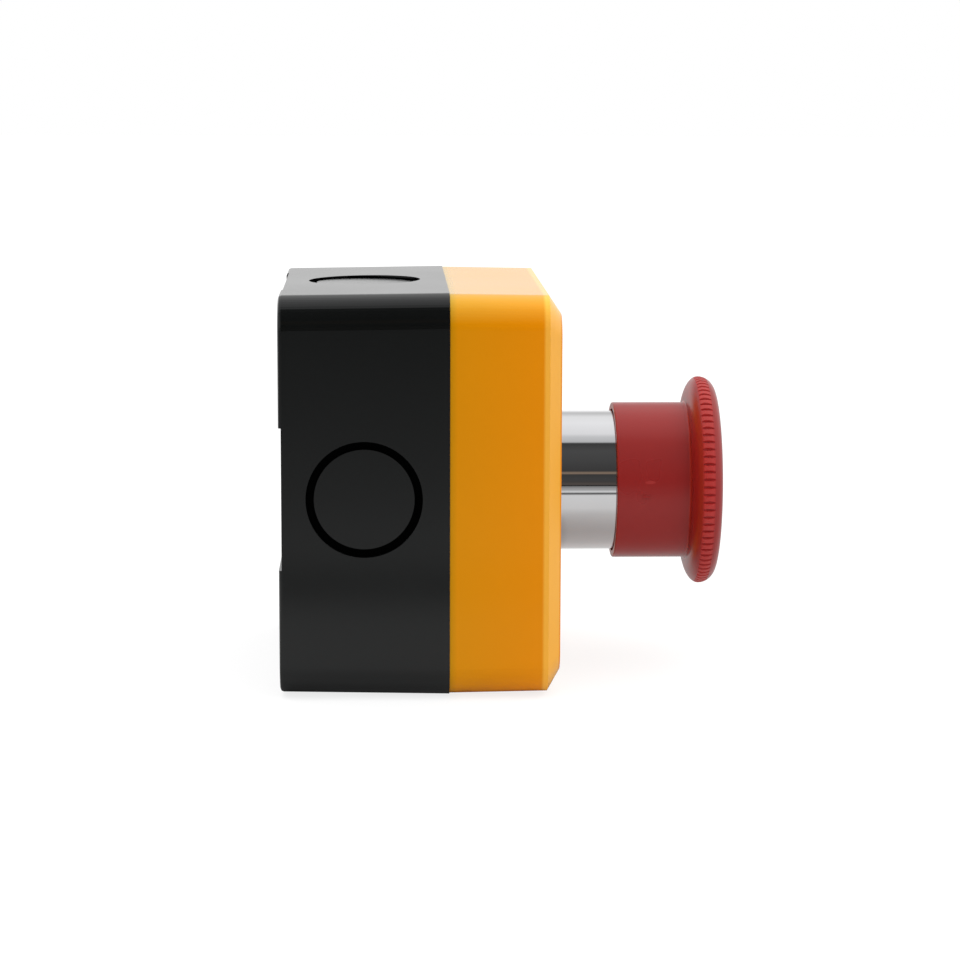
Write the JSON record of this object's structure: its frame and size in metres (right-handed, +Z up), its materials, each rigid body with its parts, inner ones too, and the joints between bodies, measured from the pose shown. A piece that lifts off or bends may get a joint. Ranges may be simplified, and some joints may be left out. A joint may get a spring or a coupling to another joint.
{
  "type": "emergency stop station",
  "caption": "Square wall box with a bevelled cover and a push-lock, turn-to-release mushroom head on a plated collar, with a break and a make contact inside.",
  "frame": {"origin": "middle of the rear mounting face, at the centre of the four wall screw holes", "axes": "+Y into the wall, so the head points along -Y; +Z up; +X to the right seen from the front"},
  "size_m": [0.074, 0.0839, 0.074],
  "materials": {
    "black_housing": "fine moulded texture, satin",
    "yellow_cover": "moulded, satin, slightly glossy",
    "seal_rubber": "matt",
    "bright_steel": "zinc plated",
    "chrome_plate": "polished plating",
    "die_cast": "as cast, satin",
    "grey_plastic": "moulded",
    "spring_steel": "drawn wire and strip",
    "natural_plastic": "moulded",
    "red_plastic": "moulded, glossy face",
    "block_plastic": "moulded, matt",
    "red_plunger": "moulded",
    "green_plunger": "moulded",
    "contact_brass": "stamped strip"
  },
  "bodies": {
    "station": {"base_box": "black_housing", "front_cover": "yellow_cover", "cover_gasket": "seal_rubber", "cover_screws": "bright_steel", "chrome_collar": "chrome_plate", "collar_gasket": "seal_rubber", "operator_barrel": "die_cast", "guide_bush": "grey_plastic", "spindle_seal": "seal_rubber", "latch_balls": "bright_steel", "latch_springs": "spring_steel", "latch_ring": "spring_steel", "return_spring": "spring_steel", "fixing_collar": "die_cast", "clamp_screws": "bright_steel", "break_housing": "block_plastic", "break_return_spring": "spring_steel", "break_terminals": "contact_brass", "make_housing": "block_plastic", "make_return_spring": "spring_steel", "make_terminals": "contact_brass", "terminal_clamps": "bright_steel", "terminal_screws": "bright_steel", "block_screws": "bright_steel"},
    "pusher_disc": {"pusher": "natural_plastic", "twist_spring": "spring_steel"},
    "head": {"mushroom_head": "red_plastic", "spindle": "bright_steel", "head_pin": "bright_steel", "retaining_ring": "spring_steel"},
    "break_slider": {"break_plunger": "red_plunger", "break_bridge": "contact_brass", "break_contact_spring": "spring_steel"},
    "make_slider": {"make_plunger": "green_plunger", "make_contact_spring": "spring_steel"},
    "make_contact": {"make_bridge": "contact_brass"}
  },
  "joints": [
    {"name": "head_press", "type": "slide", "parent": "station", "child": "pusher_disc", "axis": [0, 1, 0], "range_m": [0, 0.005], "stiffness_N_per_m": 1200, "springref_m": -0.004, "deforming": ["return_spring", "twist_spring"]},
    {"name": "head_twist", "type": "hinge", "parent": "pusher_disc", "child": "head", "pos_m": [0, -0.06, -0.002], "axis": [0, 1, 0], "range_deg": [0, 30], "stiffness_Nm_per_rad": 0.12},
    {"name": "break_slide", "type": "slide", "parent": "station", "child": "break_slider", "axis": [0, 1, 0], "range_m": [0, 0.005], "deforming": ["break_return_spring"]},
    {"name": "make_slide", "type": "slide", "parent": "station", "child": "make_slider", "axis": [0, 1, 0], "range_m": [0, 0.005], "deforming": ["make_return_spring"]},
    {"name": "make_bridge_give", "type": "slide", "parent": "make_slider", "child": "make_contact", "axis": [0, -1, 0], "range_m": [0, 0.0025], "deforming": ["make_contact_spring"]}
  ],
  "couplings": [
    {"joint": "break_slide", "follows": "head_press", "ratio": 1},
    {"joint": "make_slide", "follows": "head_press", "ratio": 1},
    {"joint": "make_bridge_give", "follows": "head_press", "ratio": 0.5}
  ]
}
